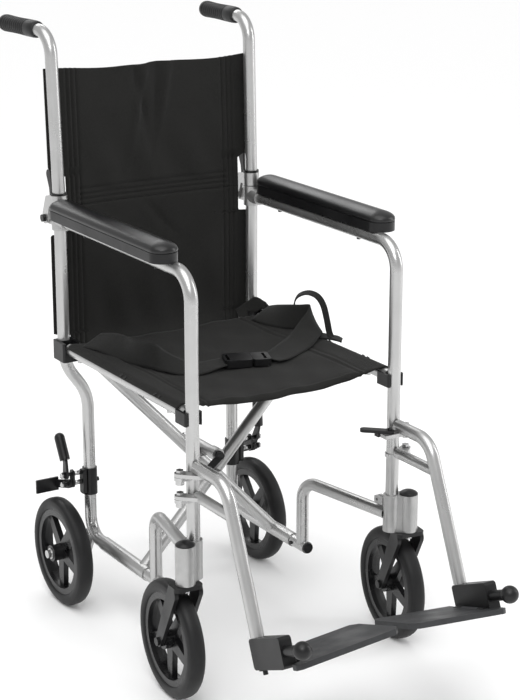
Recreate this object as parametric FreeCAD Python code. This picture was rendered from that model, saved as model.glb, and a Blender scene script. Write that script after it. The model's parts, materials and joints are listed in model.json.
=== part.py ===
"""Transport wheelchair: two side frames, a folding cross brace, fold-down push
canes, swing-away footrests, casters, fixed rear wheels and wheel locks.

Millimetres, +Z up, the chair faces -Y and its occupant's left is +X.  The origin
is on the floor in the middle of the chair's footprint.  Pieces are laid out from
the front posts, whose plane is y = 0 until every solid is moved back by
FOOTPRINT_MIDDLE at export.  Side pieces are made for the left and mirrored.
"""
import FreeCAD, Part
import math
import os

V = FreeCAD.Vector
X_AXIS, Y_AXIS, Z_AXIS = V(1, 0, 0), V(0, 1, 0), V(0, 0, 1)

# ---- driving dimensions -------------------------------------------------
HALF_WIDTH = 194.6          # centre of the chair to the post tubes
DEPTH = 459.0               # front posts to rear posts
FOOTPRINT_MIDDLE = 151.5    # front posts to the middle of the footprint
TUBE_R = 11.0               # frame tube, 22 mm
TUBE_WALL = 1.5
FIT = 0.05                  # radial clearance of a running fit
SEAM = 0.35                 # gap between curved pieces of different bodies

# side frame
ARM_Z = 720.0               # armrest tube centre
ARM_BEND = 45.0
PAD_Z = (746.0, 763.5)      # underside and top of the armrest's soft pad
POST_FOOT_Z = 220.0
RAIL_X = 150.4              # lower frame, set in from the posts
RAIL_Z = 124.2
RAIL_FRONT_Y = 195.0
S_BEND_TOP_Z, S_BEND_LOW_Z = 458.0, 396.0
REAR_POST_TOP_Z = 728.0
LOOP_Y, LOOP_Z = 211.0, 249.0

# cross brace
SEAT_RAIL_Z = 490.5
SEAT_RAIL_R = 10.5
SEAT_RAIL_Y = (13.5, 432.0)
SLEEVE_R = 12.8
SLEEVE_Y = (240.0, 404.0)
BRACE_FRONT_Y, BRACE_REAR_Y = 262.0, 308.0
BRACE_PIVOT_Z = 312.0
BRACE_BOLT_R = 5.0

# casters and wheels
WHEEL_R, TYRE_W = 100.0, 30.0
RIM_R, RIM_IN_R = 79.0, 67.0
HUB_R = 15.0
SPOKES = 5
AXLE_R = 5.0
CASTER_X, CASTER_Y = 218.8, -15.2
CASTER_TRAIL = 52.0
CASTER_TURN = {"left": 7.0, "right": -3.0}   # resting swivel of each caster, degrees outwards
HOUSING_Z = (216.5, 283.0)
HOUSING_R = 16.5
STEM_R = 6.0
REAR_WHEEL_X, REAR_WHEEL_Y = 204.7, 466.2

# push canes
CANE_PIVOT_Y, CANE_PIVOT_Z = DEPTH + 40.0, 716.0
CANE_FOOT_Z = 739.0
CANE_TOP_Z = 1041.0
CANE_LEAN = 13.0            # rearward lean of the cane over its height
LATCH_PIVOT = V(0, DEPTH + 24.0, CANE_FOOT_Z + 13.0)
LATCH_PIN_R = 2.5
GRIP_Y = (514.0, 640.0)
GRIP_R = 15.0

# footrests
HANGER_PIN_X, HANGER_PIN_Y = 219.5, -2.0
HANGER_PIN_R = 4.0
HANGER_TOP_Z = 409.0
HANGER_CORNER_Y = -103.0
HANGER_END = V(HALF_WIDTH, -196.0, 190.0)
STRUT_Z, STRUT_R = 361.0, 9.0
BRACKET_AHEAD = (-11.0, 82.0)
BRACKET_DROP, BRACKET_HALF_W = 50.0, 11.0
BALL_AHEAD, BALL_DOWN, BALL_R = 128.0, 24.0, 14.5
PLATE_HINGE = V(HALF_WIDTH - 21.0, -253.0, 168.0)
PLATE_INNER_X = {"left": 20.0, "right": 8.0}
PLATE_SLOPE = 18.5          # front edge up, degrees
PLATE_TILT = 4.5            # inner edge up, degrees
PLATE_T = 9.0

# soft goods
PANEL_Y = DEPTH + TUBE_R + 1.0
PANEL_T = 3.0
PANEL_HALF_W = HALF_WIDTH + 13.0
NOTCH_HALF_W = HALF_WIDTH - 20.0
BACK_Z = (478.0, 737.0, 978.0)
BACK_SKIRT_Z = 507.0        # below this the back is only as wide as between the posts
NOTCH_Z = (692.0, 791.0)
SEAT_Y = (38.0, 420.0)
SEAT_SAG = 14.0
BUCKLE_AT = V(25.0, 194.0, 492.2)
BUCKLE_TURN = -20.0

os.makedirs("parts", exist_ok=True)
nodes = {}


# ---- small helpers ------------------------------------------------------
def rod(start, end, radius):
    """Solid cylinder from one point to another."""
    axis = end - start
    return Part.makeCylinder(radius, axis.Length, start, axis)


def pipe(start, end, radius, wall):
    """Hollow cylinder from one point to another."""
    return rod(start, end, radius).cut(rod(start, end, radius - wall))


def box(low, high):
    """Box between two corners."""
    return Part.makeBox(high.x - low.x, high.y - low.y, high.z - low.z, low)


def edges_along(solid, axis):
    """The straight edges of a solid that run along an axis."""
    return [e for e in solid.Edges
            if abs((e.Vertexes[1].Point - e.Vertexes[0].Point).normalize().dot(axis)) > 0.99]


def rounded_box(low, high, radius, axis):
    """Box whose four edges along the axis are rounded."""
    solid = box(low, high)
    return solid.makeFillet(radius, edges_along(solid, axis))


def fuse(shapes):
    """One solid out of pieces that touch or cross."""
    return shapes[0].multiFuse(shapes[1:]).removeSplitter()


def bend_path(points, bends):
    """Wire of straight runs joined by tangent arcs at the inner points."""
    edges = []
    last = points[0]
    for i in range(1, len(points) - 1):
        back = (points[i - 1] - points[i]).normalize()
        ahead = (points[i + 1] - points[i]).normalize()
        half = back.getAngle(ahead) / 2.0
        reach = bends[i - 1] / math.tan(half)
        enter = points[i] + back * reach
        leave = points[i] + ahead * reach
        middle = (back + ahead).normalize()
        centre = points[i] + middle * (bends[i - 1] / math.sin(half))
        edges.append(Part.makeLine(last, enter))
        edges.append(Part.Arc(enter, centre - middle * bends[i - 1], leave).toShape())
        last = leave
    edges.append(Part.makeLine(last, points[-1]))
    return Part.Wire(edges)


def bent_bar(points, bends, radius):
    """Round bar swept along a bent path."""
    wire = bend_path(points, bends)
    circle = Part.Wire(Part.makeCircle(radius, points[0], points[1] - points[0]))
    return wire.makePipeShell([circle], True, True)


def bent_tube(points, bends, radius=TUBE_R, wall=TUBE_WALL):
    """Round tube swept along a bent path, open at both ends."""
    return bent_bar(points, bends, radius).cut(bent_bar(points, bends, radius - wall))


def plate(outline, thickness, axis):
    """Flat plate from an outline of points, pushed out along an axis."""
    face = Part.Face(Part.makePolygon(outline + [outline[0]]))
    return face.extrude(axis * thickness)


def strap(a, b, radius_a, radius_b, thickness, axis):
    """Link plate with round ends: the hull of two circles, from a plane along an axis."""
    span = b - a
    length = span.Length
    along = V(span).normalize()
    side = axis.cross(along)
    lean = math.asin((radius_a - radius_b) / length)
    foot = along * math.sin(lean)
    out = side * math.cos(lean)
    corners = [a + (foot + out) * radius_a, b + (foot + out) * radius_b,
               b + (foot - out) * radius_b, a + (foot - out) * radius_a]
    web = plate(corners, thickness, axis)
    ends = [Part.makeCylinder(radius_a, thickness, a, axis), Part.makeCylinder(radius_b, thickness, b, axis)]
    return fuse([web] + ends)


def lathe(outline, centre, axis_x=True):
    """Turn an outline of (radius, offset) pairs about an axis through a point."""
    if axis_x:
        points = [centre + V(offset, 0, radius) for radius, offset in outline]
        axis = X_AXIS
    else:
        points = [centre + V(radius, 0, offset) for radius, offset in outline]
        axis = Z_AXIS
    face = Part.Face(Part.makePolygon(points + [points[0]]))
    return face.revolve(centre, axis, 360)


def hexagon(centre, axis_up, across, height):
    """Hexagonal prism standing on a point, pushed out along Y or Z."""
    u = X_AXIS
    w = axis_up.cross(u)
    radius = across / math.sqrt(3)
    corners = [centre + u * (radius * math.cos(k * math.pi / 3)) + w * (radius * math.sin(k * math.pi / 3))
               for k in range(6)]
    return plate(corners, height, axis_up)


def mirrored(shape):
    """The right-hand twin of a left-hand shape."""
    return shape.mirror(V(0, 0, 0), X_AXIS)


def pair(name, shape):
    """Store a left-hand piece and its right-hand twin."""
    nodes["left_" + name] = shape
    nodes["right_" + name] = mirrored(shape)


# ---- side frame ---------------------------------------------------------
def front_tube():
    """Armrest tube and front post, one bent tube."""
    points = [V(HALF_WIDTH, 0, POST_FOOT_Z), V(HALF_WIDTH, 0, ARM_Z), V(HALF_WIDTH, DEPTH - 15, ARM_Z)]
    return bent_tube(points, [ARM_BEND])


def rear_post():
    """Rear post with its inward S-bend and lower rail, axle plate and stub axle."""
    points = [V(HALF_WIDTH, DEPTH, REAR_POST_TOP_Z), V(HALF_WIDTH, DEPTH, S_BEND_TOP_Z),
              V(RAIL_X, DEPTH, S_BEND_LOW_Z), V(RAIL_X, DEPTH, RAIL_Z), V(RAIL_X, RAIL_FRONT_Y, RAIL_Z)]
    bends = [85.0, 85.0, 38.0]
    outer = bent_bar(points, bends, TUBE_R)
    inner = bent_bar(points, bends, TUBE_R - TUBE_WALL)
    axle_z = WHEEL_R
    foot = V(RAIL_X + 3, REAR_WHEEL_Y, axle_z)
    wheel = V(REAR_WHEEL_X, REAR_WHEEL_Y, axle_z)
    lug = strap(foot, V(RAIL_X + 3, DEPTH - 16, RAIL_Z + 14), 14.0, 14.0, 6.0, X_AXIS)
    boss = rod(foot, wheel - V(24.5, 0, 0), 9.0)
    axle = rod(foot, wheel + V(30, 0, 0), AXLE_R)
    washer = rod(wheel + V(24.5, 0, 0), wheel + V(26, 0, 0), 10.0)
    head = rod(wheel + V(26, 0, 0), wheel + V(33, 0, 0), 7.5)
    frame = fuse([outer, lug, boss, axle, washer, head]).cut(inner)
    return Part.makeCompound([frame, loop_tube()])


def loop_tube():
    """Tube that rises from the lower rail and runs forward to the caster clamp."""
    points = [V(RAIL_X, LOOP_Y, RAIL_Z), V(RAIL_X, LOOP_Y, LOOP_Z), V(HALF_WIDTH - 6, 8, LOOP_Z - 2)]
    tube = bent_tube(points, [34.0])
    rail = rod(V(RAIL_X, LOOP_Y - 60, RAIL_Z), V(RAIL_X, LOOP_Y + 60, RAIL_Z), TUBE_R + 0.01)
    clamp = rod(V(HALF_WIDTH, 0, 0), V(HALF_WIDTH, 0, 400), 14.55)
    below = box(V(RAIL_X - 20, LOOP_Y - 20, RAIL_Z - 20), V(RAIL_X + 20, LOOP_Y + 20, RAIL_Z))
    return tube.cut(rail).cut(clamp).cut(below)


def caster_clamp():
    """Clamp round the foot of the front post with the caster's bearing housing beside it."""
    low, high = HOUSING_Z
    post_clamp = rod(V(HALF_WIDTH, 0, low), V(HALF_WIDTH, 0, high), 14.5)
    housing = rod(V(CASTER_X, CASTER_Y, low), V(CASTER_X, CASTER_Y, high), HOUSING_R)
    web = strap(V(HALF_WIDTH, 0, low), V(CASTER_X, CASTER_Y, low), 11.0, 13.0, high - low, Z_AXIS)
    ear = rounded_box(V(HALF_WIDTH - 14, 8, high - 22), V(HALF_WIDTH - 1, 32, high - 9), 3.5, X_AXIS)
    body = fuse([post_clamp, housing, web, ear])
    bore = rod(V(HALF_WIDTH, 0, POST_FOOT_Z - 0.5), V(HALF_WIDTH, 0, high), TUBE_R + 0.02)
    relief = rod(V(CASTER_X, CASTER_Y, low + 9), V(CASTER_X, CASTER_Y, high - 12), 11.0)
    stem_bore = rod(V(CASTER_X, CASTER_Y, low), V(CASTER_X, CASTER_Y, high - 3), STEM_R + FIT)
    slot = box(V(HALF_WIDTH - 8.5, 9, low), V(HALF_WIDTH - 6.5, 33, high))
    screw = rod(V(HALF_WIDTH - 20, 24, high - 15.5), V(HALF_WIDTH + 5, 24, high - 15.5), 2.5)
    return body.cut(bore).cut(relief).cut(stem_bore).cut(slot).cut(screw)


def frame_trim():
    """Black plastic of one side frame: dome cap, rail plug, clamp screws and rear cap ring."""
    top = HOUSING_Z[1]
    dome_r = 24.0
    cap_r = 15.8
    sag = dome_r - math.sqrt(dome_r ** 2 - cap_r ** 2)
    ball = Part.makeSphere(dome_r, V(CASTER_X, CASTER_Y, top + 2 + sag - dome_r))
    dome = ball.common(rod(V(CASTER_X, CASTER_Y, top + 2), V(CASTER_X, CASTER_Y, top + 20), cap_r))
    disc = rod(V(CASTER_X, CASTER_Y, top), V(CASTER_X, CASTER_Y, top + 2), cap_r)
    cap = fuse([dome, disc])
    plug_face = rod(V(RAIL_X, RAIL_FRONT_Y - 4, RAIL_Z), V(RAIL_X, RAIL_FRONT_Y, RAIL_Z), 9.5)
    plug_stem = rod(V(RAIL_X, RAIL_FRONT_Y, RAIL_Z), V(RAIL_X, RAIL_FRONT_Y + 12, RAIL_Z),
                    TUBE_R - TUBE_WALL - 0.02)
    stop_y = SLEEVE_Y[0] - 8
    stop = rod(V(RAIL_X - TUBE_R - 3, stop_y, RAIL_Z), V(RAIL_X - TUBE_R + 0.2, stop_y, RAIL_Z), 3.6)
    tube_hull = rod(V(RAIL_X, LOOP_Y, RAIL_Z), V(RAIL_X, LOOP_Y + 60, RAIL_Z), TUBE_R + 0.02)
    return Part.makeCompound([cap, fuse([plug_face, plug_stem]), stop.cut(tube_hull)] + saddles())


def saddles():
    """Front and rear saddle clips that the seat rail drops into."""
    channel_r = SEAT_RAIL_R + 0.6
    low_z, high_z = SEAT_RAIL_Z - 21, SEAT_RAIL_Z + 7
    front = rounded_box(V(HALF_WIDTH - 16, -6, low_z + 6.5), V(HALF_WIDTH + 16, 30, high_z), 4.0, Z_AXIS)
    rear = rounded_box(V(HALF_WIDTH - 17, DEPTH - 34, low_z), V(HALF_WIDTH + 17, DEPTH + 9.5, high_z + 6),
                       4.0, Z_AXIS)
    front_post = rod(V(HALF_WIDTH, 0, low_z - 5), V(HALF_WIDTH, 0, high_z + 15), TUBE_R + 0.05)
    rear_tube = rod(V(HALF_WIDTH, DEPTH, low_z - 25), V(HALF_WIDTH, DEPTH, high_z + 15), TUBE_R + 0.05)
    front_mouth = box(V(HALF_WIDTH - TUBE_R - 0.6, -20, low_z - 1),
                      V(HALF_WIDTH + TUBE_R + 0.6, 0, high_z + 1))
    groove = rod(V(HALF_WIDTH, 5, SEAT_RAIL_Z), V(HALF_WIDTH, DEPTH - 12, SEAT_RAIL_Z), channel_r)
    mouth = box(V(HALF_WIDTH - channel_r, 5, SEAT_RAIL_Z), V(HALF_WIDTH + channel_r, DEPTH - 12, high_z + 12))
    bend_room = box(V(HALF_WIDTH - 60, DEPTH - 11.05, low_z - 30),
                    V(HALF_WIDTH + 3, DEPTH + 11.05, low_z + 14))
    front = front.cut(front_post).cut(front_mouth).cut(groove).cut(mouth)
    rear = rear.cut(rear_tube).cut(groove).cut(mouth).cut(bend_room)
    return [front, rear]


def hinge_casting():
    """Casting on top of the rear post that takes the armrest tube and carries the cane's hinge."""
    top = CANE_FOOT_Z - 1.0
    sleeve = rod(V(HALF_WIDTH, DEPTH, ARM_Z - 18), V(HALF_WIDTH, DEPTH, top), 14.5)
    socket = rod(V(HALF_WIDTH, DEPTH - 32, ARM_Z), V(HALF_WIDTH, DEPTH, ARM_Z), 13.8)
    arm = strap(V(HALF_WIDTH - 5, DEPTH, CANE_PIVOT_Z + 4), V(HALF_WIDTH - 5, CANE_PIVOT_Y, CANE_PIVOT_Z),
                13.0, 10.0, 10.0, X_AXIS)
    body = fuse([sleeve, socket, arm])
    post_bore = rod(V(HALF_WIDTH, DEPTH, ARM_Z - 19), V(HALF_WIDTH, DEPTH, REAR_POST_TOP_Z + 0.1),
                    TUBE_R + 0.02)
    arm_bore = rod(V(HALF_WIDTH, DEPTH - 33, ARM_Z), V(HALF_WIDTH, DEPTH - 14.9, ARM_Z), TUBE_R + 0.02)
    pin_bore = rod(V(HALF_WIDTH - 6, CANE_PIVOT_Y, CANE_PIVOT_Z), V(HALF_WIDTH + 6, CANE_PIVOT_Y, CANE_PIVOT_Z),
                   4.0 + FIT)
    return body.cut(post_bore).cut(arm_bore).cut(pin_bore)


def armrest_outline(grow):
    """Plan outline of the armrest pad: a long bar with round ends."""
    half = 24.0 + grow
    centre_x = HALF_WIDTH + 13
    front, rear = 42.0 - grow, 440.0 + grow
    nose = half * 0.95
    left = V(centre_x - half, front + nose, 0)
    right = V(centre_x + half, front + nose, 0)
    rear_right = V(centre_x + half, rear - nose, 0)
    rear_left = V(centre_x - half, rear - nose, 0)
    return Part.Wire([Part.Arc(left, V(centre_x, front, 0), right).toShape(), Part.makeLine(right, rear_right),
                      Part.Arc(rear_right, V(centre_x, rear, 0), rear_left).toShape(), Part.makeLine(rear_left, left)])


def armrest_base():
    """Moulded base of the armrest pad, saddled on the tube and held by two screws."""
    slab = Part.Face(armrest_outline(0)).extrude(V(0, 0, PAD_Z[0] - ARM_Z - 10))
    slab.translate(V(0, 0, ARM_Z + 10))
    groove = rod(V(HALF_WIDTH, -40, ARM_Z), V(HALF_WIDTH, DEPTH + 40, ARM_Z), TUBE_R + 0.05)
    bend_room = rod(V(HALF_WIDTH, 0, ARM_Z - 5), V(HALF_WIDTH, 40, ARM_Z - 5), TUBE_R + 1)
    socket_room = rod(V(HALF_WIDTH, DEPTH - 33, ARM_Z), V(HALF_WIDTH, DEPTH, ARM_Z), 13.9)
    return slab.cut(groove).cut(bend_room).cut(socket_room)


def armrest_pad():
    """Padded top of the armrest."""
    pad = Part.Face(armrest_outline(0)).extrude(V(0, 0, PAD_Z[1] - PAD_Z[0]))
    pad.translate(V(0, 0, PAD_Z[0]))
    top = [e for e in pad.Edges if all(abs(v.Point.z - PAD_Z[1]) < 0.01 for v in e.Vertexes)]
    return pad.makeFillet(9.0, top)


def hanger_lugs():
    """Fixed lugs on the front post with the pins that the footrest hanger turns on."""
    solids = []
    for z in (HANGER_TOP_Z - 20, STRUT_Z - 9.5):
        pin = V(HANGER_PIN_X, HANGER_PIN_Y, 0)
        lug = strap(V(HALF_WIDTH, 0, z), pin + V(0, 0, z), 13.5, 9.0, 6.0, Z_AXIS)
        lug = lug.cut(rod(V(HALF_WIDTH, 0, z - 1), V(HALF_WIDTH, 0, z + 8), TUBE_R + 0.02))
        shank = rod(pin + V(0, 0, z + 6), pin + V(0, 0, z + 13), HANGER_PIN_R)
        head = hexagon(pin + V(0, 0, z + 13), Z_AXIS, 11.0, 4.5)
        bumper = rod(pin + V(0, 0, z - 7), pin + V(0, 0, z), 7.0)
        solids.append(fuse([lug, shank, head, bumper]))
    return Part.makeCompound(solids)


# ---- wheel lock ---------------------------------------------------------
LOCK_Z = 230.0
LOCK_PIVOT = V(0, 455.0, 232.0)
LOCK_BODY_X = 191.0
LOCK_GRIP_R = 9.5
LOCK_LEAN = {"left": 25.0, "right": 0.0}     # how far forward each lever is left standing, degrees


def lock_clamp():
    """Clamp on the rear post with the two long bolts that carry the wheel lock."""
    low, high = LOCK_Z - 25, LOCK_Z + 25
    shell = rod(V(RAIL_X, DEPTH, low), V(RAIL_X, DEPTH, high), 13.5)
    jaw = rounded_box(V(RAIL_X, DEPTH - 12, low + 4), V(RAIL_X + 19, DEPTH + 3, high), 4.0, X_AXIS)
    bore = rod(V(RAIL_X, DEPTH, low - 1), V(RAIL_X, DEPTH, high + 1), TUBE_R + 0.02)
    split = box(V(RAIL_X + TUBE_R - 2, DEPTH - 20, low - 1), V(RAIL_X + TUBE_R + 1, DEPTH - 8, high + 1))
    clamp = fuse([shell, jaw]).cut(bore).cut(split)
    bolts = [rod(V(RAIL_X + 15, LOCK_PIVOT.y, z), V(LOCK_BODY_X + 12.5, LOCK_PIVOT.y, z), 3.5)
             for z in (LOCK_PIVOT.z, LOCK_Z + 20)]
    arm = strap(V(LOCK_BODY_X - 5, LOCK_PIVOT.y, LOCK_PIVOT.z), V(LOCK_BODY_X - 5, LOCK_PIVOT.y, LOCK_Z + 20),
                8.0, 8.0, 3.0, X_AXIS)
    nuts = [rod(V(LOCK_BODY_X + 12.5, LOCK_PIVOT.y, z), V(LOCK_BODY_X + 16, LOCK_PIVOT.y, z), 5.5)
            for z in (LOCK_PIVOT.z, LOCK_Z + 20)]
    strap_bolt = rod(V(RAIL_X - 16, DEPTH - 2, LOCK_Z), V(RAIL_X - 12, DEPTH - 2, LOCK_Z), 4.0)
    return fuse([clamp] + bolts + [arm] + nuts + [strap_bolt])


def lock_handle():
    """Wheel-lock lever with its grip, turning on the upper long bolt."""
    x = LOCK_BODY_X + 6.5
    foot = V(x, LOCK_PIVOT.y, LOCK_Z + 20)
    knee = V(x, LOCK_PIVOT.y + 1, LOCK_Z + 46)
    tip = V(x, LOCK_PIVOT.y + 22, LOCK_Z + 84)
    blade = strap(foot, knee, 8.0, 5.0, 5.0, X_AXIS)
    grip_line = V(tip - knee).normalize()
    start = knee + V(2.5, 0, 0)
    end = tip + V(2.5, 0, 0)
    grip = rod(start + grip_line * 2, end, LOCK_GRIP_R)
    grip = grip.fuse(Part.makeSphere(LOCK_GRIP_R, end))
    bore = rod(foot - V(1, 0, 0), foot + V(7, 0, 0), 3.5 + FIT)
    return fuse([blade, grip]).cut(bore)


def leaned(shape, side):
    """Turn a lock lever about its bolt to where it was left standing."""
    shape.rotate(V(0, LOCK_PIVOT.y, LOCK_Z + 20), X_AXIS, LOCK_LEAN[side])
    return shape


def lock_shoe():
    """Brake shoe on its arm, turning on the lower long bolt."""
    x = LOCK_BODY_X + 0.5
    foot = V(x, LOCK_PIVOT.y, LOCK_PIVOT.z)
    end = V(x, 505.0, 217.0)
    arm = strap(foot, end, 8.0, 7.0, 5.0, X_AXIS)
    shoe = box(V(x, 505.0, 204.0), V(x + 44, 509.0, 229.0))
    bore = rod(foot - V(1, 0, 0), foot + V(7, 0, 0), 3.5 + FIT)
    return fuse([arm, shoe]).cut(bore)


# ---- casters and wheels -------------------------------------------------
def caster_turned(shape, side):
    """Swivel a caster piece, laid out trailing straight back, to its resting angle."""
    turned = shape.copy()
    turned.rotate(V(CASTER_X, CASTER_Y, 0), Z_AXIS, -CASTER_TURN[side])
    return turned


def caster_pair(name, shape):
    """Store both casters' copies of a piece, each at its own resting swivel."""
    nodes["left_" + name] = caster_turned(shape, "left")
    nodes["right_" + name] = mirrored(caster_turned(shape, "right"))


def fork():
    """Caster fork: crown, two arms, stem and axle bolt."""
    axle = V(CASTER_X, CASTER_Y + CASTER_TRAIL, WHEEL_R)
    crown_z = (209.0, HOUSING_Z[0] - 0.6)
    gap, arm_t = 18.5, 7.0
    crown = rounded_box(V(CASTER_X - gap - arm_t, CASTER_Y - 16, crown_z[0]),
                        V(CASTER_X + gap + arm_t, CASTER_Y + 18, crown_z[1]), 8.0, Z_AXIS)
    pieces = [crown]
    for x in (CASTER_X - gap - arm_t, CASTER_X + gap):
        top = V(x, CASTER_Y + 2, crown_z[1] - 14)
        pieces.append(strap(top, V(x, axle.y, axle.z), 14.0, 9.5, arm_t, X_AXIS))
    stem_top = HOUSING_Z[1] - 4
    pieces.append(rod(V(CASTER_X, CASTER_Y, crown_z[0]), V(CASTER_X, CASTER_Y, stem_top), STEM_R))
    pieces.append(rod(V(CASTER_X, CASTER_Y, crown_z[0] - 4), V(CASTER_X, CASTER_Y, crown_z[0]), 7.0))
    reach = gap + arm_t
    pieces.append(rod(axle - V(reach, 0, 0), axle + V(reach, 0, 0), AXLE_R))
    pieces.append(rod(axle + V(reach, 0, 0), axle + V(reach + 4, 0, 0), 7.0))
    pieces.append(rod(axle - V(reach + 4, 0, 0), axle - V(reach, 0, 0), 7.0))
    return fuse(pieces)


def rim(centre, hub_half):
    """Five-spoke rim with a long hub and a bored centre."""
    half = 12.0
    barrel = lathe([(RIM_R, -half), (RIM_R, half), (RIM_IN_R + 1, half), (RIM_IN_R, 4), (RIM_IN_R, -4),
                    (RIM_IN_R + 1, -half)], centre)
    hub = rod(centre - V(hub_half, 0, 0), centre + V(hub_half, 0, 0), HUB_R)
    spokes = []
    for k in range(SPOKES):
        spoke = strap(centre + V(-5, 0, -HUB_R + 3), centre + V(-5, 0, -RIM_IN_R - 2), 11.0, 7.5, 10.0, X_AXIS)
        spoke.rotate(centre, X_AXIS, 360.0 * k / SPOKES)
        spokes.append(spoke)
    outside = lathe([(RIM_R - 3, -20), (RIM_R + 20, -20), (RIM_R + 20, 20), (RIM_R - 3, 20)], centre)
    spokes = [s.cut(outside) for s in spokes]
    bore = rod(centre - V(hub_half + 1, 0, 0), centre + V(hub_half + 1, 0, 0), AXLE_R + FIT)
    return fuse([barrel, hub] + spokes).cut(bore)


def tyre(centre):
    """Solid tyre: a crowned ring on the rim."""
    half = TYRE_W / 2
    outline = [(RIM_R, -half + 1), (WHEEL_R - 9, -half), (WHEEL_R - 3, -half + 4), (WHEEL_R, -half + 10),
               (WHEEL_R, half - 10), (WHEEL_R - 3, half - 4), (WHEEL_R - 9, half), (RIM_R, half - 1)]
    return lathe(outline, centre)


# ---- cross brace --------------------------------------------------------
def cross_frame(tube_y):
    """Brace tube for the right lower rail: pivot sleeve, tube and the left seat rail."""
    low = V(-RAIL_X, tube_y, RAIL_Z)
    high = V(HALF_WIDTH, tube_y, SEAT_RAIL_Z)
    sleeve = rod(V(-RAIL_X, SLEEVE_Y[0], RAIL_Z), V(-RAIL_X, SLEEVE_Y[1], RAIL_Z), SLEEVE_R)
    rail = rod(V(HALF_WIDTH, SEAT_RAIL_Y[0], SEAT_RAIL_Z), V(HALF_WIDTH, SEAT_RAIL_Y[1], SEAT_RAIL_Z), SEAT_RAIL_R)
    bore = rod(V(-RAIL_X, SLEEVE_Y[0] - 1, RAIL_Z), V(-RAIL_X, SLEEVE_Y[1] + 1, RAIL_Z), TUBE_R + FIT)
    brace = rod(low, high, TUBE_R)
    brace_hollow = rod(low, high, TUBE_R - TUBE_WALL)
    rail_hollow = rod(V(HALF_WIDTH, SEAT_RAIL_Y[0] - 1, SEAT_RAIL_Z), V(HALF_WIDTH, SEAT_RAIL_Y[1] + 1, SEAT_RAIL_Z),
                      SEAT_RAIL_R - TUBE_WALL)
    studs = [rod(V(HALF_WIDTH, y, SEAT_RAIL_Z - SEAT_RAIL_R - 4), V(HALF_WIDTH, y, SEAT_RAIL_Z), 4.0)
             for y in (75.0, 395.0)]
    around = Part.makeCompound([
        rod(V(-RAIL_X, tube_y - 50, RAIL_Z), V(-RAIL_X, tube_y + 50, RAIL_Z), SLEEVE_R + 0.01),
        rod(V(HALF_WIDTH, tube_y - 50, SEAT_RAIL_Z), V(HALF_WIDTH, tube_y + 50, SEAT_RAIL_Z), SEAT_RAIL_R + 0.01)])
    return sleeve.cut(bore), fuse([rail] + studs).cut(rail_hollow), brace.cut(around), brace_hollow


def front_cross():
    """Front brace: on the right lower rail, carrying the left seat rail, with the pivot eye."""
    sleeve, rail, brace, hollow = cross_frame(BRACE_FRONT_Y)
    eye = rod(V(0, BRACE_FRONT_Y - 9, BRACE_PIVOT_Z), V(0, BRACE_FRONT_Y + 11, BRACE_PIVOT_Z), 12.0)
    bolt_room = rod(V(0, BRACE_FRONT_Y - 20, BRACE_PIVOT_Z), V(0, BRACE_FRONT_Y + 20, BRACE_PIVOT_Z),
                    BRACE_BOLT_R + FIT)
    return Part.makeCompound([fuse([brace, eye]).cut(hollow).cut(bolt_room), rail, sleeve])


def rear_cross():
    """Rear brace: on the left lower rail, carrying the right seat rail, with the pivot housing."""
    sleeve, rail, brace, hollow = [mirrored(shape) for shape in cross_frame(BRACE_REAR_Y)]
    housing = rod(V(0, BRACE_FRONT_Y + 14, BRACE_PIVOT_Z), V(0, 366, BRACE_PIVOT_Z), 10.0)
    web = box(V(-9, BRACE_REAR_Y - 12, BRACE_PIVOT_Z - 14), V(9, BRACE_REAR_Y + 40, BRACE_PIVOT_Z - 4))
    bolt_room = rod(V(0, BRACE_FRONT_Y, BRACE_PIVOT_Z), V(0, 380, BRACE_PIVOT_Z), BRACE_BOLT_R + 0.02)
    return Part.makeCompound([fuse([brace, housing, web]).cut(hollow).cut(bolt_room), rail, sleeve])


def pivot_bolt():
    """Centre bolt of the cross brace with its cap and lock nut."""
    front = BRACE_FRONT_Y - 10
    shank = rod(V(0, front, BRACE_PIVOT_Z), V(0, 374, BRACE_PIVOT_Z), BRACE_BOLT_R)
    cap = hexagon(V(0, front, BRACE_PIVOT_Z), V(0, -1, 0), 15.0, 8.0)
    nut = hexagon(V(0, 366.5, BRACE_PIVOT_Z), Y_AXIS, 14.0, 7.0)
    return fuse([shank, cap, nut])


# ---- push canes ---------------------------------------------------------
def cane():
    """Push cane with its hinge cheeks."""
    points = [V(HALF_WIDTH, DEPTH, CANE_FOOT_Z), V(HALF_WIDTH + 2, DEPTH + CANE_LEAN, CANE_TOP_Z),
              V(HALF_WIDTH + 9, GRIP_Y[1] - 4, CANE_TOP_Z)]
    outer = bent_bar(points, [42.0], TUBE_R)
    inner = bent_bar(points, [42.0], TUBE_R - TUBE_WALL)
    sleeve = rod(V(HALF_WIDTH, DEPTH, CANE_FOOT_Z), V(HALF_WIDTH, DEPTH + 1, CANE_FOOT_Z + 23), 14.5)
    cheeks = []
    for x in (HALF_WIDTH - 10.5, HALF_WIDTH + 5.5):
        neck = strap(V(x, DEPTH + 4, CANE_FOOT_Z + 12), V(x, DEPTH + 27, CANE_FOOT_Z + 10), 11.0, 9.0, 5.0, X_AXIS)
        drop = strap(V(x, DEPTH + 27, CANE_FOOT_Z + 10), V(x, CANE_PIVOT_Y, CANE_PIVOT_Z), 9.0, 10.0, 5.0, X_AXIS)
        cheeks += [neck, drop]
    pin = rod(V(HALF_WIDTH - 11, CANE_PIVOT_Y, CANE_PIVOT_Z), V(HALF_WIDTH + 11, CANE_PIVOT_Y, CANE_PIVOT_Z), 4.0)
    latch_pin = rod(LATCH_PIVOT + V(HALF_WIDTH - 8, 0, 0), LATCH_PIVOT + V(HALF_WIDTH + 8, 0, 0), LATCH_PIN_R)
    return fuse([outer, sleeve, pin, latch_pin] + cheeks).cut(inner)


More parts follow.
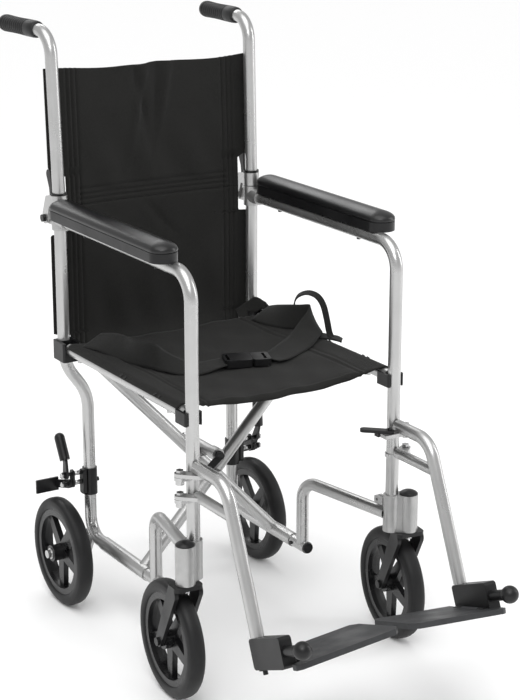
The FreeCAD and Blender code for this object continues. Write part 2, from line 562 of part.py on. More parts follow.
def cane_trim():
    """Black collar round the cane just above its hinge, and the caps on the hinge pin."""
    z = CANE_FOOT_Z + 24.0
    outer = rod(V(HALF_WIDTH, DEPTH + 1, z), V(HALF_WIDTH, DEPTH + 1, z + 3.5), 14.0)
    lean = rod(V(HALF_WIDTH, DEPTH, CANE_FOOT_Z), V(HALF_WIDTH + 2, DEPTH + CANE_LEAN, CANE_TOP_Z), TUBE_R + 0.02)
    pin_end = V(HALF_WIDTH, CANE_PIVOT_Y, CANE_PIVOT_Z)
    caps = [rod(pin_end + V(side * 11, 0, 0), pin_end + V(side * 16, 0, 0), 6.5) for side in (-1, 1)]
    return Part.makeCompound([outer.cut(lean)] + caps)


def grip():
    """Ribbed rubber hand grip."""
    tube_end = V(HALF_WIDTH + 9, GRIP_Y[1] - 4, CANE_TOP_Z)
    run = V(V(HALF_WIDTH + 2, DEPTH + CANE_LEAN, CANE_TOP_Z) - tube_end).normalize()
    start = tube_end - run * 4
    end = start + run * (GRIP_Y[1] - GRIP_Y[0])
    body = rod(start, end, GRIP_R)
    hollow = rod(start + run * 3.9, end + run * 2, TUBE_R + 0.02)
    return body.cut(hollow)


def latch_lever():
    """Latch lever between the hinge cheeks, behind the cane, that frees its hinge."""
    x = HALF_WIDTH - 4
    foot = LATCH_PIVOT + V(x, 0, 0)
    knee = foot + V(0, 3, 20)
    tip = foot + V(0, 9, 42)
    blade = fuse([strap(foot, knee, 5.0, 5.0, 8.0, X_AXIS), strap(knee, tip, 5.0, 8.5, 8.0, X_AXIS)])
    return blade.cut(rod(foot - V(1, 0, 0), foot + V(9, 0, 0), LATCH_PIN_R + FIT))


# ---- footrests ----------------------------------------------------------
DOWN = V(HANGER_END - V(HALF_WIDTH, HANGER_CORNER_Y, HANGER_TOP_Z)).normalize()
AHEAD = X_AXIS.cross(DOWN) * -1.0
SLOPE_DIR = V(0, -math.cos(math.radians(PLATE_SLOPE)), math.sin(math.radians(PLATE_SLOPE)))


def from_end(ahead, down, side=0.0):
    """Point given along the footrest bracket, down the hanger and sideways, from the hanger's end."""
    return HANGER_END + AHEAD * ahead + DOWN * down + X_AXIS * side


def hanger():
    """Swing-away footrest hanger: bent tube, strut and the two pivot plates."""
    start = V(HALF_WIDTH, -13.5, HANGER_TOP_Z)
    points = [start, V(HALF_WIDTH, HANGER_CORNER_Y, HANGER_TOP_Z), HANGER_END]
    outer = bent_bar(points, [45.0], TUBE_R)
    inner = bent_bar([start + V(0, -4, 0)] + points[1:], [45.0], TUBE_R - TUBE_WALL)
    strut = rod(V(HALF_WIDTH, -15, STRUT_Z), V(HALF_WIDTH, -122, STRUT_Z), STRUT_R)
    pin = V(HANGER_PIN_X, HANGER_PIN_Y, 0)
    plates = []
    for z in (HANGER_TOP_Z - 13.5, STRUT_Z - 3):
        link = strap(V(HALF_WIDTH, -24, z), pin + V(0, 0, z), 10.5, 9.0, 6.0, Z_AXIS)
        plates.append(link)
    shelf = box(V(HALF_WIDTH - 36, -30, HANGER_TOP_Z - 13.5), V(HALF_WIDTH - 4, -14.5, HANGER_TOP_Z - 7.5))
    body = fuse([outer, strut, shelf] + plates)
    post_room = rod(V(HALF_WIDTH, 0, 300), V(HALF_WIDTH, 0, 500), TUBE_R + 1.2)
    pin_room = rod(pin + V(0, 0, 300), pin + V(0, 0, 500), HANGER_PIN_R + FIT)
    head_room = rod(pin + V(0, 0, HANGER_TOP_Z - 7.4), pin + V(0, 0, HANGER_TOP_Z + 20), 8.0)
    tip_room = rod(HANGER_END - DOWN * 60, HANGER_END + DOWN * 5, TUBE_R - TUBE_WALL)
    return body.cut(inner).cut(post_room).cut(pin_room).cut(head_room).cut(tip_room)


def hanger_lever():
    """Release lever of the hanger, turning on a rivet beside the front post."""
    z = HANGER_TOP_Z - 7.2
    rear = V(HALF_WIDTH - 52, 10, z)
    front = V(HALF_WIDTH - 20, -19, z)
    blade = strap(front, rear, 7.0, 7.5, 5.0, Z_AXIS)
    rivet = rod(front + V(0, 0, 5), front + V(0, 0, 8), 4.0)
    catch = box(V(HALF_WIDTH - 37, -9, z - 8), V(HALF_WIDTH - 27, 2, z))
    return fuse([blade, rivet, catch])


def footrest_post():
    """Inner tube of the footrest that slides in the hanger."""
    top = HANGER_END - DOWN * 80
    return pipe(top, HANGER_END + DOWN * 14, TUBE_R - TUBE_WALL - 0.08, TUBE_WALL)


def footrest_bracket():
    """Black bracket under the footrest post with its ball knob, hinge ears and clamp bolt."""
    half = BRACKET_HALF_W
    back, front = BRACKET_AHEAD
    corners = [from_end(back, 1.0, -half), from_end(front, 1.0, -half),
               from_end(front, BRACKET_DROP, -half), from_end(back, BRACKET_DROP, -half)]
    block = plate(corners, 2 * half, X_AXIS)
    block = block.makeFillet(6.0, edges_along(block, X_AXIS))
    socket = rod(from_end(0, 0.5), from_end(0, 14.1), TUBE_R - TUBE_WALL - 0.06)
    neck = rod(from_end(front - 1, BALL_DOWN), from_end(BALL_AHEAD - 9, BALL_DOWN), 9.0)
    ball = Part.makeSphere(BALL_R, from_end(BALL_AHEAD, BALL_DOWN))
    bolt = rod(from_end(2, BRACKET_DROP), from_end(2, BRACKET_DROP + 9), 4.0)
    washer = rod(from_end(2, BRACKET_DROP), from_end(2, BRACKET_DROP + 2), 9.0)
    ears = []
    for offset in (-38.0, 24.0):
        centre = PLATE_HINGE + SLOPE_DIR * offset
        barrel = rod(centre, centre + SLOPE_DIR * 14, 6.5)
        tail = rod(centre, centre + SLOPE_DIR * 14, 4.0)
        tail.translate(V(8, 0, 0))
        ears += [barrel, tail]
    pin = rod(PLATE_HINGE - SLOPE_DIR * 38, PLATE_HINGE + SLOPE_DIR * 38, 2.5)
    return fuse([block, neck, ball, bolt, washer, pin] + ears).cut(socket)


def footplate(x_in):
    """Folding footplate with its hinge barrel, laid flat and then sloped."""
    x_out = PLATE_HINGE.x
    back, front = 63.0, -66.0
    outline = [V(x_in + 10, back, 0), V(x_out + 3, back, 0), V(x_out + 3, front + 22, 0),
               V(x_out + 24, front + 16, 0), V(x_out + 24, front + 5, 0), V(x_out + 16, front, 0),
               V(x_in + 8, front, 0), V(x_in - 4, front + 14, 0), V(x_in, back - 14, 0)]
    slab = plate(outline, PLATE_T, Z_AXIS)
    slab.translate(V(0, 0, -PLATE_T / 2))
    barrel = rod(V(x_out, -22, 0), V(x_out, 22, 0), 6.5)
    bore = rod(V(x_out, -30, 0), V(x_out, 30, 0), 2.5 + FIT)
    ear_room = [box(V(x_out - 8, y, -9), V(x_out + 9, y + 17, 9)) for y in (-39.5, 22.5)]
    body = fuse([slab, barrel])
    for room in ear_room + [bore]:
        body = body.cut(room)
    body.rotate(V(x_out, 0, 0), Y_AXIS, PLATE_TILT)
    body.translate(V(0, PLATE_HINGE.y, PLATE_HINGE.z))
    body.rotate(PLATE_HINGE, X_AXIS, -PLATE_SLOPE)
    return body


# ---- soft goods ---------------------------------------------------------
def back_panel(low, high, notches):
    """Flat back panel, narrower over each (low, high) notch."""
    y, half, inner = PANEL_Y, PANEL_HALF_W, NOTCH_HALF_W
    panel = box(V(-half, y, low), V(half, y + PANEL_T, high))
    for side in (-1, 1):
        edge = sorted((side * inner, side * (half + 5)))
        for notch_low, notch_high in notches:
            panel = panel.cut(box(V(edge[0], y - 1, notch_low), V(edge[1], y + PANEL_T + 1, notch_high)))
    return panel


def seat():
    """Sling seat: wraps both seat rails and sags between them."""
    wrap = SEAT_RAIL_R + SEAM
    thick = 2.5
    top_z = SEAT_RAIL_Z + wrap
    run = HALF_WIDTH - 2
    lower = Part.Arc(V(-run, SEAT_Y[0], top_z), V(0, SEAT_Y[0], top_z - SEAT_SAG), V(run, SEAT_Y[0], top_z)).toShape()
    upper = Part.Arc(V(-run, SEAT_Y[0], top_z + thick), V(0, SEAT_Y[0], top_z - SEAT_SAG + thick),
                     V(run, SEAT_Y[0], top_z + thick)).toShape()
    ends = [Part.makeLine(V(side * run, SEAT_Y[0], top_z), V(side * run, SEAT_Y[0], top_z + thick))
            for side in (-1, 1)]
    sling = Part.Face(Part.Wire(Part.__sortEdges__([lower, upper] + ends))).extrude(V(0, SEAT_Y[1] - SEAT_Y[0], 0))
    wraps = []
    for side in (-1, 1):
        centre = V(side * HALF_WIDTH, SEAT_Y[0], SEAT_RAIL_Z)
        far = V(side * HALF_WIDTH, SEAT_Y[1], SEAT_RAIL_Z)
        ring = rod(centre, far, wrap + thick).cut(rod(centre, far, wrap))
        edge = sorted((side * (HALF_WIDTH - 3), side * (HALF_WIDTH + 20)))
        wraps.append(ring.common(box(V(edge[0], SEAT_Y[0], SEAT_RAIL_Z - 2), V(edge[1], SEAT_Y[1], SEAT_RAIL_Z + 20))))
    rail_room = [rod(V(s * HALF_WIDTH, 0, SEAT_RAIL_Z), V(s * HALF_WIDTH, DEPTH, SEAT_RAIL_Z), wrap - 0.01)
                 for s in (-1, 1)]
    return fuse([sling] + wraps).cut(Part.makeCompound(rail_room))


def belt_half(start, end):
    """Plain bar that stands for one half of the seat belt, edge up towards the buckle."""
    along = V(end - start)
    side = V(along.cross(Z_AXIS)).normalize() * 19.0
    up = V(0, 0, 3)
    return plate([start + side, end + side, end - side, start - side], 1.0, up)


def seat_belt():
    """Both halves of the seat belt, from the rear corners to the buckle."""
    turn = math.radians(BUCKLE_TURN)
    axis = V(math.cos(turn), math.sin(turn), 0)
    right = belt_half(V(-160, 385, 505), BUCKLE_AT - axis * 55 + V(0, 0, 1))
    left = belt_half(V(160, 385, 505), V(96, 190, 500))
    return Part.makeCompound([right, left])


def turned_buckle(shape):
    """Turn a buckle piece, laid out along X at the origin, into its place on the seat."""
    shape.rotate(V(0, 0, 0), Z_AXIS, BUCKLE_TURN)
    shape.translate(BUCKLE_AT)
    return shape


def buckle_body():
    """Receiving half of the side-release buckle."""
    shell = rounded_box(V(-42, -23, 0), V(6, 23, 13), 7.0, Z_AXIS)
    pocket = box(V(-24, -18, 3), V(8, 18, 10))
    slot = box(V(-38, -16, -1), V(-33, 16, 14))
    return turned_buckle(shell.cut(pocket).cut(slot))


def buckle_tongue():
    """Inserted half of the buckle with its two prongs."""
    base = rounded_box(V(7, -22, 0.5), V(38, 22, 12.5), 6.0, Z_AXIS)
    slot = box(V(26, -16, -1), V(31, 16, 14))
    prongs = [box(V(-20, y, 3.6), V(10, y + 8, 9.4)) for y in (-16.0, 8.0)]
    guide = box(V(-12, -3, 3.6), V(10, 3, 9.4))
    return turned_buckle(fuse([base.cut(slot), guide] + prongs))


# ---- assembly -----------------------------------------------------------
pair("front_tube", front_tube())
pair("rear_post", rear_post())
pair("caster_clamp", caster_clamp())
pair("frame_trim", frame_trim())
pair("hinge_casting", hinge_casting())
pair("armrest_base", armrest_base())
pair("armrest_pad", armrest_pad())
pair("hanger_lugs", hanger_lugs())
pair("lock_clamp", lock_clamp())
nodes["left_lock_handle"] = leaned(lock_handle(), "left")
nodes["right_lock_handle"] = mirrored(leaned(lock_handle(), "right"))
pair("lock_shoe", lock_shoe())
pair("cane", cane())
pair("cane_trim", cane_trim())
pair("grip", grip())
pair("latch_lever", latch_lever())
pair("hanger", hanger())
pair("hanger_lever", hanger_lever())
pair("footrest_post", footrest_post())
pair("footrest_bracket", footrest_bracket())
nodes["left_footplate"] = footplate(PLATE_INNER_X["left"])
nodes["right_footplate"] = mirrored(footplate(PLATE_INNER_X["right"]))
front_axle = V(CASTER_X, CASTER_Y + CASTER_TRAIL, WHEEL_R)
rear_axle = V(REAR_WHEEL_X, REAR_WHEEL_Y, WHEEL_R)
caster_pair("caster_fork", fork())
caster_pair("front_rim", rim(front_axle, 17.8))
caster_pair("front_tyre", tyre(front_axle))
pair("rear_rim", rim(rear_axle, 24.0))
pair("rear_tyre", tyre(rear_axle))
nodes["front_cross"] = front_cross()
nodes["rear_cross"] = rear_cross()
nodes["pivot_bolt"] = pivot_bolt()
nodes["seat_sling"] = seat()
nodes["seat_belt"] = seat_belt()
nodes["buckle_body"] = buckle_body()
nodes["buckle_tongue"] = buckle_tongue()
nodes["back_lower"] = back_panel(BACK_Z[0], BACK_Z[1] - 1, [(BACK_Z[0] - 1, BACK_SKIRT_Z), (NOTCH_Z[0], BACK_Z[1])])
nodes["back_upper"] = back_panel(BACK_Z[1], BACK_Z[2], [(BACK_Z[1] - 1, NOTCH_Z[1])])
lean = math.degrees(math.atan2(CANE_LEAN, CANE_TOP_Z - CANE_FOOT_Z))
nodes["back_upper"].rotate(V(0, PANEL_Y, CANE_FOOT_Z), X_AXIS, -lean)

for name, shape in nodes.items():
    shape.translate(V(0, -FOOTPRINT_MIDDLE, 0))
    shape.exportStep("parts/%s.step" % name)
    good = shape.isValid() and all(s.isValid() for s in shape.Solids)
    print("%-24s solids %d volume %9.0f %s" % (name, len(shape.Solids), shape.Volume, "" if good else "INVALID"))
low_y = min(shape.BoundBox.YMin for shape in nodes.values())
high_y = max(shape.BoundBox.YMax for shape in nodes.values())
print(len(nodes), "nodes, footprint off centre by", (low_y + high_y) / 2)
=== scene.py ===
"""Transport wheelchair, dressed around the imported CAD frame: cloth, webbing, pads,
tyres, grips and materials, with a studio floor, soft light and the camera."""
import json
import math

import bpy
import numpy as np
from mathutils import Matrix, Vector


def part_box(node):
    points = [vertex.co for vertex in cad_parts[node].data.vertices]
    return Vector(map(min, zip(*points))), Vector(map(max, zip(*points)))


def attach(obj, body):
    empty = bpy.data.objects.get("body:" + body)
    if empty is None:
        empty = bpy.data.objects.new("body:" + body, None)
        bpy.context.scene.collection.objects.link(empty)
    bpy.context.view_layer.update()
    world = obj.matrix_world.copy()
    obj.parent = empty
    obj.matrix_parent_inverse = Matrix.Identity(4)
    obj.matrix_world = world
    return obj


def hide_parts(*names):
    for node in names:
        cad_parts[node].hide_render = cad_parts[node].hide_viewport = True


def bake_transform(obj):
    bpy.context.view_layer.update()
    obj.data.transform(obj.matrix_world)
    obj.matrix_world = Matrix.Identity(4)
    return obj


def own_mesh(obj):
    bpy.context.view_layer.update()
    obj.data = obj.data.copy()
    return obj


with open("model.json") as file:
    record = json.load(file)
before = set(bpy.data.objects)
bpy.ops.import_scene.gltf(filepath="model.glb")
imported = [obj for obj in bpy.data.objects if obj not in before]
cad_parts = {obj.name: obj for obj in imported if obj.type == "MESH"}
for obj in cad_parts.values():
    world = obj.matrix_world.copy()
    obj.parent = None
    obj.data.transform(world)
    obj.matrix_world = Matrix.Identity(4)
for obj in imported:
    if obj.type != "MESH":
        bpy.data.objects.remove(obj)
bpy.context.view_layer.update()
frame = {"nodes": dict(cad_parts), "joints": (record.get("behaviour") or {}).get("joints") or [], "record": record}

MM = 0.001
TUBE_R = 11.0           # frame tubes, mm
MIDDLE = -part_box("left_front_tube")[0].y / MM - TUBE_R     # front posts to the middle of the footprint, mm
HALF = 194.6            # centre to the post tubes, mm
RAIL_Z = 490.5          # height of the seat rails, mm
SIDES = (("left", 1), ("right", -1))


def at(x, y, z):
    """A point laid out from the front posts, in mm, as metres in the row frame."""
    return Vector((x * MM, (y - MIDDLE) * MM, z * MM))


# ---- materials ----------------------------------------------------------
def links_of(mat):
    return mat.node_tree.nodes, mat.node_tree.links


def base_material(name, color, rough, metallic=0.0, **extra):
    """A material with its Principled shader, and constants set on the shader itself."""
    mat = bpy.data.materials.new(name)
    mat.use_nodes = True
    shader = mat.node_tree.nodes["Principled BSDF"]
    shader.inputs["Base Color"].default_value = (*color, 1)
    shader.inputs["Roughness"].default_value = rough
    shader.inputs["Metallic"].default_value = metallic
    for key, value in extra.items():
        shader.inputs[key.replace("_", " ")].default_value = value
    return mat, shader


def noise(mat, scale, detail):
    """Noise over the piece's own coordinates."""
    nodes, links = links_of(mat)
    where = nodes.new("ShaderNodeTexCoord")
    texture = nodes.new("ShaderNodeTexNoise")
    texture.inputs["Scale"].default_value = scale
    texture.inputs["Detail"].default_value = detail
    links.new(where.outputs["Object"], texture.inputs["Vector"])
    return texture.outputs["Fac"]


def ramp(mat, source, low, high, start=0.35, end=0.65):
    """Colours a value from low to high between two stops."""
    nodes, links = links_of(mat)
    node = nodes.new("ShaderNodeValToRGB")
    for stop, place, color in zip(node.color_ramp.elements, (start, end), (low, high)):
        stop.position = place
        stop.color = (*color, 1)
    links.new(source, node.inputs["Fac"])
    return node.outputs["Color"]


def add_bump(mat, shader, height, strength, distance, under=None):
    """A bump on the shader, over another bump where one is given."""
    nodes, links = links_of(mat)
    node = nodes.new("ShaderNodeBump")
    node.inputs["Strength"].default_value = strength
    node.inputs["Distance"].default_value = distance
    links.new(height, node.inputs["Height"])
    if under is not None:
        links.new(under, node.inputs["Normal"])
    links.new(node.outputs["Normal"], shader.inputs["Normal"])
    return node.outputs["Normal"]


def combine(mat, operation, *values):
    """A math node over sockets and plain numbers."""
    nodes, links = links_of(mat)
    node = nodes.new("ShaderNodeMath")
    node.operation = operation
    for socket, value in zip(node.inputs, values):
        if isinstance(value, float):
            socket.default_value = value
        else:
            links.new(value, socket)
    return node.outputs[0]


def grey(v):
    return (v, v, v)


GRAIN_DEPTH = 0.0003    # of a solid finish, m
SHINE_SCALE = 0.4       # patches of gloss are larger than patches of colour


def speckled(name, color, rough, spread, scale, bump, bump_scale, metallic=0.0, rough_spread=0.08, **extra):
    """A solid finish with gentle variation of colour and gloss and a fine surface grain."""
    mat, shader = base_material(name, color, rough, metallic, **extra)
    links = mat.node_tree.links
    dark = tuple(c * (1 - spread) for c in color)
    light = tuple(c * (1 + spread) for c in color)
    links.new(ramp(mat, noise(mat, scale, 4.0), dark, light), shader.inputs["Base Color"])
    patches = noise(mat, scale * SHINE_SCALE, 5.0)
    shine = ramp(mat, patches, grey(rough - rough_spread), grey(rough + rough_spread))
    links.new(shine, shader.inputs["Roughness"])
    add_bump(mat, shader, noise(mat, bump_scale, 2.0), bump, GRAIN_DEPTH)
    return mat


THREAD_DEPTH, MOTTLE_DEPTH = 0.0004, 0.0006     # bumps of woven cloth, m
THREAD_SHARE, SLOW_SHARE = 0.35, 0.5            # of threads and of slow patches in the cloth's shade
BAND_SCALE = 2 / 6.2832                         # wave scale that gives about one band in each unit


def woven(name, color, rough, weave_mm, contrast, bump, sheen, twill=False):
    """Woven cloth: crossed threads along the piece's UV, in metres, over slow mottling."""
    mat, shader = base_material(name, color, rough, 0.0, Sheen_Weight=sheen, Sheen_Roughness=0.5,
                                Specular_IOR_Level=0.14)
    nodes, links = links_of(mat)
    where = nodes.new("ShaderNodeTexCoord")
    turned_uv = nodes.new("ShaderNodeMapping")
    turned_uv.inputs["Rotation"].default_value = (0, 0, math.radians(45) if twill else 0)
    links.new(where.outputs["UV"], turned_uv.inputs["Vector"])
    threads = []
    for direction in ("X", "Y"):
        wave = nodes.new("ShaderNodeTexWave")
        wave.bands_direction = direction
        wave.inputs["Scale"].default_value = 1000.0 / weave_mm * BAND_SCALE
        wave.inputs["Distortion"].default_value = 0.6
        wave.inputs["Detail"].default_value = 1.0
        links.new(turned_uv.outputs["Vector"], wave.inputs["Vector"])
        threads.append(wave.outputs["Fac"])
    cross = combine(mat, "MAXIMUM", *threads)
    mottle = noise(mat, 320.0, 5.0)
    slow = noise(mat, 14.0, 3.0)
    shade = combine(mat, "MULTIPLY_ADD", cross, THREAD_SHARE, mottle)
    shade = combine(mat, "MULTIPLY_ADD", slow, SLOW_SHARE, shade)
    dark = tuple(c * (1 - contrast) for c in color)
    light = tuple(c * (1 + contrast) for c in color)
    links.new(ramp(mat, shade, dark, light, 0.55, 1.0), shader.inputs["Base Color"])
    first = add_bump(mat, shader, cross, bump, THREAD_DEPTH)
    add_bump(mat, shader, mottle, bump * 0.8, MOTTLE_DEPTH, first)
    return mat


MATERIALS = {
    "frame_silver": speckled("frame_silver", (0.50, 0.50, 0.497), 0.30, 0.03, 25.0, 0.06, 1400.0, 0.88, 0.05),
    "cast_silver": speckled("cast_silver", (0.44, 0.44, 0.437), 0.40, 0.05, 60.0, 0.22, 700.0, 0.85, 0.07),
    "bolt_steel": speckled("bolt_steel", (0.50, 0.50, 0.50), 0.26, 0.06, 90.0, 0.05, 500.0, 0.95, 0.06),
    "satin_black": speckled("satin_black", (0.007, 0.007, 0.0075), 0.36, 0.15, 40.0, 0.2, 1100.0,
                            Specular_IOR_Level=0.35),
    "grip_rubber": speckled("grip_rubber", (0.010, 0.010, 0.0105), 0.52, 0.15, 70.0, 0.35, 800.0,
                            Specular_IOR_Level=0.35),
    "pad_vinyl": speckled("pad_vinyl", (0.006, 0.006, 0.0065), 0.34, 0.2, 30.0, 0.3, 650.0, 0.0, 0.05,
                          Specular_IOR_Level=0.4, Coat_Weight=0.15, Coat_Roughness=0.3),
    "plate_grey": speckled("plate_grey", (0.030, 0.031, 0.033), 0.5, 0.12, 50.0, 0.5, 600.0,
                           Specular_IOR_Level=0.4),
    "wheel_grey": speckled("wheel_grey", (0.006, 0.006, 0.0065), 0.30, 0.12, 40.0, 0.12, 900.0,
                           Specular_IOR_Level=0.4),
    "tyre": speckled("tyre", (0.009, 0.009, 0.0095), 0.50, 0.18, 35.0, 0.4, 500.0, Specular_IOR_Level=0.3),
    "nylon": woven("nylon", (0.0105, 0.0104, 0.0098), 0.78, 0.9, 0.35, 0.4, 0.06),
    "webbing": woven("webbing", (0.0105, 0.0105, 0.010), 0.75, 1.6, 0.45, 0.8, 0.08, True),
}

for item in frame["record"]["subparts"]:
    obj = frame["nodes"][item["node"]]
    obj.data.materials.clear()
    obj.data.materials.append(MATERIALS[item["material_slot"]])


# ---- mesh helpers -------------------------------------------------------
def new_piece(name, verts, faces, slot, body=None, uvs=None, smooth=True):
    """A mesh piece with its material, riding on a body. uvs is one pair for each vertex."""
    mesh = bpy.data.meshes.new(name)
    mesh.from_pydata([tuple(v) for v in verts], [], faces)
    mesh.update()
    if uvs is not None:
        layer = mesh.uv_layers.new(name="UVMap")
        for loop in mesh.loops:
            layer.data[loop.index].uv = uvs[loop.vertex_index]
    mesh.polygons.foreach_set("use_smooth", [smooth] * len(mesh.polygons))
    mesh.materials.append(MATERIALS[slot])
    obj = bpy.data.objects.new(name, mesh)
    bpy.context.scene.collection.objects.link(obj)
    if body:
        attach(obj, body)
    return obj


def settle(obj):
    """Applies the piece's modifiers to its mesh."""
    graph = bpy.context.evaluated_depsgraph_get()
    mesh = bpy.data.meshes.new_from_object(obj.evaluated_get(graph))
    obj.modifiers.clear()
    obj.data = mesh
    return obj


def grid(columns):
    """Vertices and faces of a grid from a list of equal columns of points."""
    rows = len(columns[0])
    verts = [p for column in columns for p in column]
    faces = [(i * rows + j, (i + 1) * rows + j, (i + 1) * rows + j + 1, i * rows + j + 1)
             for i in range(len(columns) - 1) for j in range(rows - 1)]
    return verts, faces


def ring_solid(rings, closed_ends=True):
    """Vertices and faces of a skin over closed rings, capped at both ends."""
    count = len(rings[0])
    verts = [p for ring in rings for p in ring]
    faces = []
    for i in range(len(rings) - 1):
        for j in range(count):
            k = (j + 1) % count
            faces.append((i * count + j, i * count + k, (i + 1) * count + k, (i + 1) * count + j))
    if closed_ends:
        faces.append(tuple(reversed(range(count))))
        faces.append(tuple(range((len(rings) - 1) * count, len(rings) * count)))
    return verts, faces


def turned(profile, centre, axis, start, count):
    """Rings of a lathe shape: profile of (radius, offset) in mm, turned about an axis through a point."""
    axis = Vector(axis).normalized()
    u = Vector(start).normalized()
    w = axis.cross(u)
    angles = [2 * math.pi * k / count for k in range(count)]
    return [[centre + axis * offset * MM + (u * math.cos(a) + w * math.sin(a)) * radius * MM for a in angles]
            for radius, offset in profile]


def closed_lathe(name, profile, centre, axis, start, slot, body, count):
    """A lathe shape whose profile closes on itself, such as a tyre."""
    rings = turned(profile, centre, axis, start, count)
    verts, faces = ring_solid(rings + [rings[0]], False)
    obj = new_piece(name, verts, faces, slot, body)
    weld = obj.modifiers.new("weld", "WELD")
    weld.merge_threshold = 1e-6
    settle(obj)
    obj.data.polygons.foreach_set("use_smooth", [True] * len(obj.data.polygons))
    return obj


def thicken(obj, thickness):
    """Gives a sheet its thickness in mm, half on each side."""
    solid = obj.modifiers.new("thickness", "SOLIDIFY")
    solid.thickness = thickness * MM
    solid.offset = 0
    return settle(obj)


HARD_EDGE = 40          # degrees between faces, above which an edge is rounded


def soften(obj, width, segments=2):
    """Rounds an object's hard edges by a width in mm."""
    mod = obj.modifiers.new("bevel", "BEVEL")
    mod.width = width * MM
    mod.segments = segments
    mod.limit_method = "ANGLE"
    mod.angle_limit = math.radians(HARD_EDGE)


def smooth_path(points, steps):
    """Catmull-Rom curve through points of any dimension."""
    pts = [np.array(p, float) for p in points]
    pts = [2 * pts[0] - pts[1]] + pts + [2 * pts[-1] - pts[-2]]
    out = []
    for i in range(1, len(pts) - 2):
        a, b, c, d = pts[i - 1:i + 3]
        for k in range(steps):
            t = k / steps
            out.append(0.5 * (2 * b + (c - a) * t + (2 * a - 5 * b + 4 * c - d) * t * t
                              + (3 * b - a - 3 * c + d) * t ** 3))
    out.append(pts[-2])
    return out


WEB_STEPS = 10          # points from one knot of webbing to the next
WEB_ACROSS = 8          # faces across it
WEB_THICK = 1.7         # mm


def webbing(name, knots, width, thick=WEB_THICK):
    """Flat webbing through knots of (centre xyz, width direction xyz), mm from the front posts."""
    columns, uvs, length = [], [], 0.0
    last = None
    for p in smooth_path([centre + side for centre, side in knots], WEB_STEPS):
        centre, side = p[:3], p[3:] / np.linalg.norm(p[3:])
        if last is not None:
            length += np.linalg.norm(centre - last)
        last = centre
        column = []
        for k in range(WEB_ACROSS + 1):
            t = k / WEB_ACROSS - 0.5
            column.append(at(*(centre + side * t * width)))
            uvs.append((length * MM, t * width * MM))
        columns.append(column)
    verts, faces = grid(columns)
    return thicken(new_piece(name, verts, faces, "webbing", None, uvs), thick)


# ---- soft goods: seat ---------------------------------------------------
CLOTH = 2.2             # thickness of the nylon, mm
WRAP_R = 12.3           # middle of the cloth round a seat rail, mm
SEAT_FRONT, SEAT_BACK = 28.0, 421.0
SEAT_SAG = 13.0         # of the middle below the rails, mm
TONGUE, TONGUE_FROM = 24.0, 330.0   # reach of the rear edge's middle past its ends, and where it begins, mm
SIDE_SEAMS = (159, 148)             # two stitch lines beside each rail, mm from the middle
FRONT_HEM = 15.0        # its stitch line behind the front edge, mm
ROLL_REACH, ROLL_DROP = 9.0, 9.0    # the rolled front edge, mm
FLAT_HALF = 176.0       # the hems fade out towards this distance from the middle, mm


def bell(x, centre, width):
    return math.exp(-((x - centre) / width) ** 2)


def seat_sag(y):
    """How far the middle of the seat hangs below its rails, mm."""
    t = (y - SEAT_FRONT) / (SEAT_BACK - SEAT_FRONT)
    return SEAT_SAG + 2.0 * math.sin(math.pi * min(1.0, max(0.0, t)))


def seat_height(x, y):
    """Height of the seat cloth's middle layer between the rails, mm."""
    run = HALF - 1.0
    z = RAIL_Z + WRAP_R - seat_sag(y) * (1 - (x / run) ** 2)
    edge = min(1.0, (run - abs(x)) / 30.0)
    folds = 0.9 * math.sin(0.055 * x + 0.021 * y) * math.sin(0.031 * y + 0.4)
    folds += 0.7 * math.sin(0.11 * x - 0.04 * y + 1.3)
    z += folds * edge
    for seam in SIDE_SEAMS:
        z -= 1.8 * bell(abs(x), seam, 2.0)
    return z + 0.8 * bell(abs(x), sum(SIDE_SEAMS) / 2, 3.0)


def seat_hems(x, y):
    """Height that the hems and the rolled front edge add to the cloth, mm."""
    middle = max(0.0, 1 - (x / FLAT_HALF) ** 4)
    hem = bell(y, SEAT_FRONT + 2, 5) + bell(y, SEAT_BACK - 2, 5)
    roll = max(0.0, 1 - (y - SEAT_FRONT) / ROLL_REACH)
    rise = -1.4 * bell(y, SEAT_FRONT + FRONT_HEM, 2.0)
    rise += 0.8 * hem * (0.5 + 0.5 * math.sin(0.13 * x))
    rise -= ROLL_DROP * roll ** 2 * (1 + 0.12 * math.sin(0.11 * x))
    return rise * middle


def seat_depth(x, y):
    """Where a row of the cloth lies, mm behind the front posts: a wavy front edge and a rear tongue."""
    middle = max(0.0, 1 - (x / FLAT_HALF) ** 4)
    wave = 1.6 * math.sin(0.09 * x) + 3.5 * (1 - (x / HALF) ** 2)
    reach = max(0.0, (y - TONGUE_FROM) / (SEAT_BACK - TONGUE_FROM))
    return y + wave * bell(y, SEAT_FRONT, 10) + TONGUE * middle * reach ** 2


def seat_piece():
    ys = np.linspace(SEAT_FRONT, SEAT_BACK, 92)
    wrap = [math.radians(a) for a in np.linspace(26, 84, 9)]
    outlines = [(-1, a) for a in wrap] + [(0, x) for x in np.linspace(-(HALF - 1), HALF - 1, 130)]
    outlines += [(1, a) for a in reversed(wrap)]
    columns, uvs = [], []
    for side, value in outlines:
        column = []
        for y in ys:
            if side:
                x = side * (HALF + WRAP_R * math.cos(value))
                z = RAIL_Z + WRAP_R * math.sin(value)
            else:
                x = value
                z = seat_height(x, y) + seat_hems(x, y)
            column.append(at(x, seat_depth(x, y), z))
            uvs.append((x * MM, y * MM))
        columns.append(column)
    verts, faces = grid(columns)
    return thicken(new_piece("seat_cloth", verts, faces, "nylon", None, uvs), CLOTH)


seat = seat_piece()
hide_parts("seat_sling")
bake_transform(seat)


